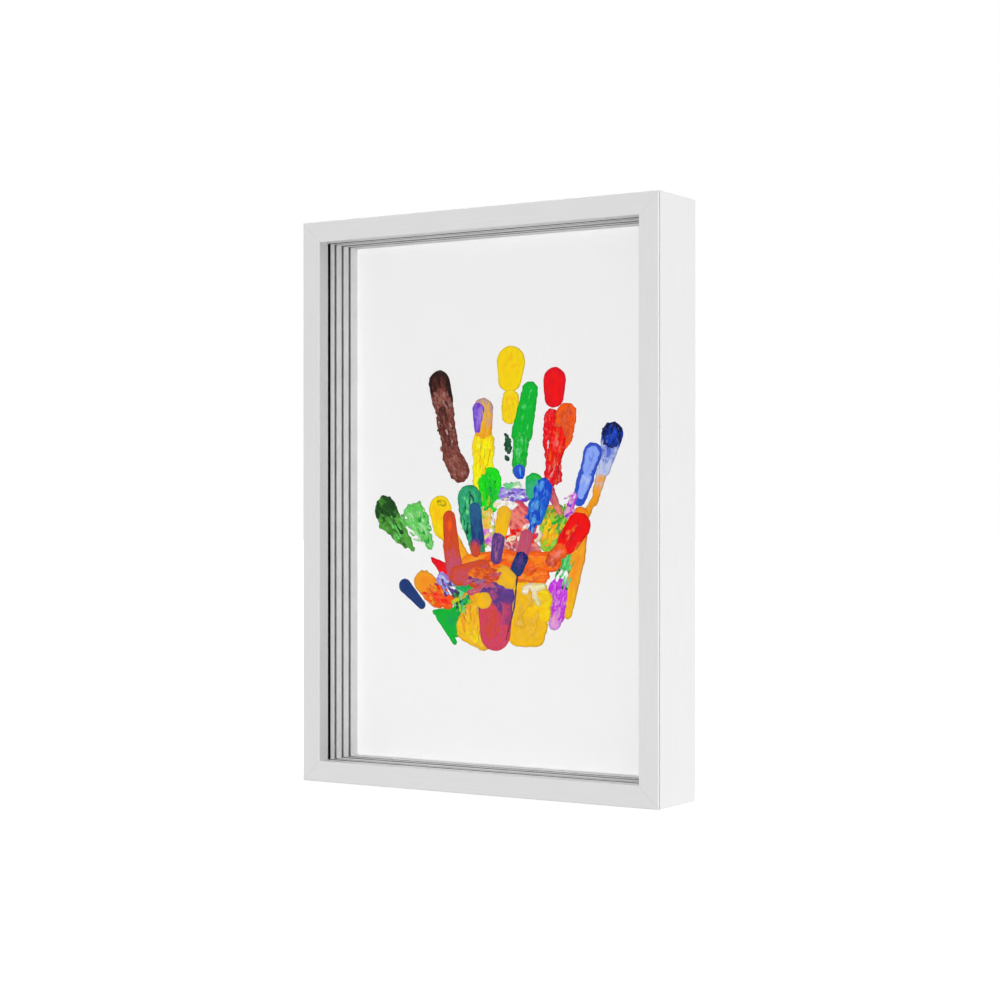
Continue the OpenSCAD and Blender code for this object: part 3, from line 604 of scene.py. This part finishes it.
def add_dab(bm, layers, dab, order, rounds, rim_scale, face_y):
    """Flattens a ball into one dab of paint in front of face_y; a larger rim scale narrows its dark rim."""
    *tone_layers, flow_layer, facts_layer = layers
    start, end, start_w, end_w, first, last, streak, streaked, ragged, bare = dab
    start, end = Vector(start), Vector(end)
    length = max((end - start).length, 0.1)
    heading = (end - start).normalized()
    side = Vector((heading.y, -heading.x))
    whole = length + (start_w + end_w) / 2
    seed = DAB_SEED * order + start_w
    tones = tone(first), tone(last), (*tone(streak)[:3], bare)
    ball = bmesh.ops.create_icosphere(bm, subdivisions=rounds, radius=1)
    for v in ball["verts"]:
        round_side, front, round_along = v.co
        chord = math.sqrt(max(1 - round_along ** 2, TINIEST))
        reach = min(math.hypot(round_side, round_along), 1)
        along = (round_along + 1) / 2 * whole - start_w / 2
        across = round_side / chord * half_width(along, length, start_w, end_w)
        nearest = min(max(along, 0), length)
        radius = start_w / 2 + (end_w - start_w) / 2 * nearest / length
        from_rim = radius - math.hypot(across, along - nearest)
        outward = Vector((across, along - nearest))
        if outward.length > TINY:
            wave = WAVE_HIGH * noise.noise(Vector((across / WAVE, along / WAVE, seed)))
            ripple = RIPPLE_HIGH * noise.noise(Vector((across / RIPPLE, along / RIPPLE, seed + RIPPLE_SEED)))
            outward = outward.normalized() * ragged * (wave + ripple) * reach ** 3
        flat = start + heading * (along + outward.y) + side * (across + outward.x)
        height = 0
        if front > -TINY:
            mark = MARK_HIGH * noise.noise(Vector((across / MARK_WIDE, along / MARK_LONG, seed + MARK_SEED)))
            height = LAYER * order + FILM * ((1 - reach ** 8) ** (1 / 3) + mark * (1 - reach ** 4))
        v.co = (flat.x * MM, face_y - height, MIDDLE_Z + flat.y * MM)
        v[tone_layers[0]], v[tone_layers[1]], v[tone_layers[2]] = tones
        v[flow_layer] = (across, along, seed)
        v[facts_layer] = ((along + start_w / 2) / whole, from_rim * rim_scale, streaked)


def depth(dabs, patches):
    """Most that a print stands out."""
    return FILM * THICKEST + LAYER * (len(dabs) + STROKE_LAYER * sum(patch[3] for patch in patches))


def new_object(name, data):
    """Puts an object with some data into the scene."""
    made = bpy.data.objects.new(name, data)
    bpy.context.scene.collection.objects.link(made)
    return made


def mesh_object(name, bm, finish):
    """Puts a finished bmesh into the scene."""
    bmesh.ops.recalc_face_normals(bm, faces=bm.faces)
    mesh = bpy.data.meshes.new(name)
    bm.to_mesh(mesh)
    bm.free()
    mesh.materials.append(finish)
    return new_object(name, mesh)


def hand(name, dabs, patches, face_y, finish):
    """One person's print: a film of paint on a pane, made of dabs and short strokes."""
    bm = bmesh.new()
    for attribute in ("tone_start", "tone_end", "tone_streak"):
        bm.verts.layers.float_color.new(attribute)
    for attribute in ("flow", "facts"):
        bm.verts.layers.float_vector.new(attribute)
    layers = [*bm.verts.layers.float_color.values(), *bm.verts.layers.float_vector.values()]
    for order, dab in enumerate(dabs, 1):
        rounds = WIDE_ROUNDS if dab[2] + dab[3] > WIDE else NARROW_ROUNDS
        add_dab(bm, layers, dab, order, rounds, DAB_RIM_SCALE, face_y)
    short = [stroke for patch in patches for stroke in strokes(*patch)]
    for order, stroke in enumerate(short, 1):
        layer = len(dabs) + STROKE_LAYER * order
        add_dab(bm, layers, stroke, layer, STROKE_ROUNDS, STROKE_RIM_SCALE, face_y)
    for face in bm.faces:
        face.smooth = True
    piece = mesh_object(f"paint_{name}", bm, finish)
    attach(piece, "frame")
    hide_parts(f"handprint_{name}")
    piece.visible_shadow = False
    piece.visible_diffuse = False


def dress(node, finish):
    """Gives a CAD node its finish."""
    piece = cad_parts[node]
    if piece.data.materials:
        for place in piece.material_slots:
            place.material = finish
    else:
        piece.data.materials.append(finish)


# Wooden rails

upright_wood = white_wood("white_wood_upright", WOOD_UPRIGHT)
level_wood = white_wood("white_wood_level", WOOD_LEVEL)
for side in ("left", "right"):
    dress(f"rail_{side}", upright_wood)
for side in ("top", "bottom"):
    dress(f"rail_{side}", level_wood)

# Spacers, panes, card and board

foam = spacer_foam()
for level in (1, 2, 3, 4):
    for side in ("bottom", "left", "top", "right"):
        dress(f"spacer_{level}_{side}", foam)

# Each pane's rim is painted dark as painted shade: nearly black on the front pane for the deep shade behind
# the lip, and grey on the inner panes. The inner panes' reaches place the shade lines in the reveal.
dress("pane_1", glass("front_glass", 0.05, "#101010", 1.0, 0.55 * MM, 0.35 * MM))
for level, reach_z in ((2, -0.1 * MM), (3, 0.4 * MM), (4, 0.15 * MM)):
    dress(f"pane_{level}", glass(f"inner_glass_{level}", 0.02, "#6c6f6e", 0.42, 0.0, reach_z))

dress("backing_card", white_card())
dress("backing_board", fibreboard())

# Metal parts at the back

bright_level = steel("bright_steel_level", "#c9cbce", "#b4b7bb", 0.24, BRUSHED_LEVEL)
bright_upright = steel("bright_steel_upright", "#c9cbce", "#b4b7bb", 0.24, BRUSHED_UPRIGHT)
zinc = steel("zinc_steel", "#b9bcc0", "#9da1a6", 0.36, NOT_BRUSHED)
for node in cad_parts:
    if node.startswith(("turn_button_left", "turn_button_right")):
        dress(node, bright_level)
    elif node.startswith("turn_button"):
        dress(node, bright_upright)
dress("hanger_portrait", bright_level)
dress("hanger_landscape", bright_upright)
for node in ("button_screws", "hanger_rivets", "corner_v_nails"):
    dress(node, zinc)

# Prints; the baby's lies behind its pane, so its base stands off the glass by its depth

smooth_paint = poster_paint("smooth_finger_paint", 0.42, 0.25)
thick_paint = poster_paint("thick_finger_paint", 0.36, 0.42)
hand("baby", BABY, BABY_STROKES, pane_back(1) + depth(BABY, BABY_STROKES), smooth_paint)
hand("child", CHILD, CHILD_STROKES, pane_front(2), thick_paint)
hand("mother", MOTHER, MOTHER_STROKES, pane_front(3), thick_paint)
hand("father", FATHER, FATHER_STROKES, pane_front(4), thick_paint)


# Floor, light and camera

FLOOR_RADIUS = 12
SKY_LIGHT, SKY_SEEN = 0.42, 1.0


def pale_floor():
    """Plain pale floor with hardly visible clouds, which glows a little."""
    made = Finish("pale_floor")
    clouds = made.grain(made.place(), 3, detail=3)
    colour = made.mix(made.fit(clouds, 0.3, 0.7), tone("#d0d0d0"), tone("#cecece"))
    made.feed(made.shader.inputs["Base Color"], colour)
    made.constant(Roughness=0.8, Specular_IOR_Level=0.1, Emission_Color=PURE_WHITE, Emission_Strength=0.6)
    return made.material


bm = bmesh.new()
bmesh.ops.create_circle(bm, cap_ends=True, segments=64, radius=FLOOR_RADIUS)
floor = mesh_object("floor", bm, pale_floor())
floor.visible_diffuse = False
floor.visible_shadow = False

world = bpy.data.worlds.new("studio")
world.use_nodes = True
background = world.node_tree.nodes["Background"]
seen = world.node_tree.nodes.new("ShaderNodeLightPath")
strength = world.node_tree.nodes.new("ShaderNodeMapRange")
strength.inputs["To Min"].default_value = SKY_LIGHT
strength.inputs["To Max"].default_value = SKY_SEEN
world.node_tree.links.new(seen.outputs["Is Camera Ray"], strength.inputs["Value"])
world.node_tree.links.new(strength.outputs["Result"], background.inputs["Strength"])
background.inputs["Color"].default_value = PURE_WHITE
bpy.context.scene.world = world


def soft_lamp(name, toward, energy, angle):
    """Distant soft lamp that shines from a direction; its angle is in degrees."""
    lamp = bpy.data.lights.new(name, "SUN")
    lamp.energy = energy
    lamp.angle = math.radians(angle)
    piece = new_object(name, lamp)
    piece.rotation_mode = "QUATERNION"
    piece.rotation_quaternion = Vector(toward).to_track_quat("Z", "Y")


soft_lamp("overhead", (0.05, 0.05, 1), 1.0, 50)
soft_lamp("front", (0.2, -1, 0), 1.6, 2)
soft_lamp("side", (1, 0.3, 0.3), 2.0, 30)
soft_lamp("rear", (-0.7, 1, 0.4), 1.0, 30)

# Level camera with the place, turn, lens and shift that were fitted to the photograph
camera_data = bpy.data.cameras.new("camera")
camera_data.lens = 76.26
camera_data.sensor_width = 36
camera_data.shift_y = 0.01625
camera = new_object("camera", camera_data)
camera.location = (0.6142, -0.9552, 0.1469)
camera.rotation_euler = (math.radians(90), 0, math.radians(32.52))
bpy.context.scene.camera = camera
bpy.context.scene.view_settings.view_transform = "Standard"
bpy.context.scene.cycles.transparent_max_bounces = 64
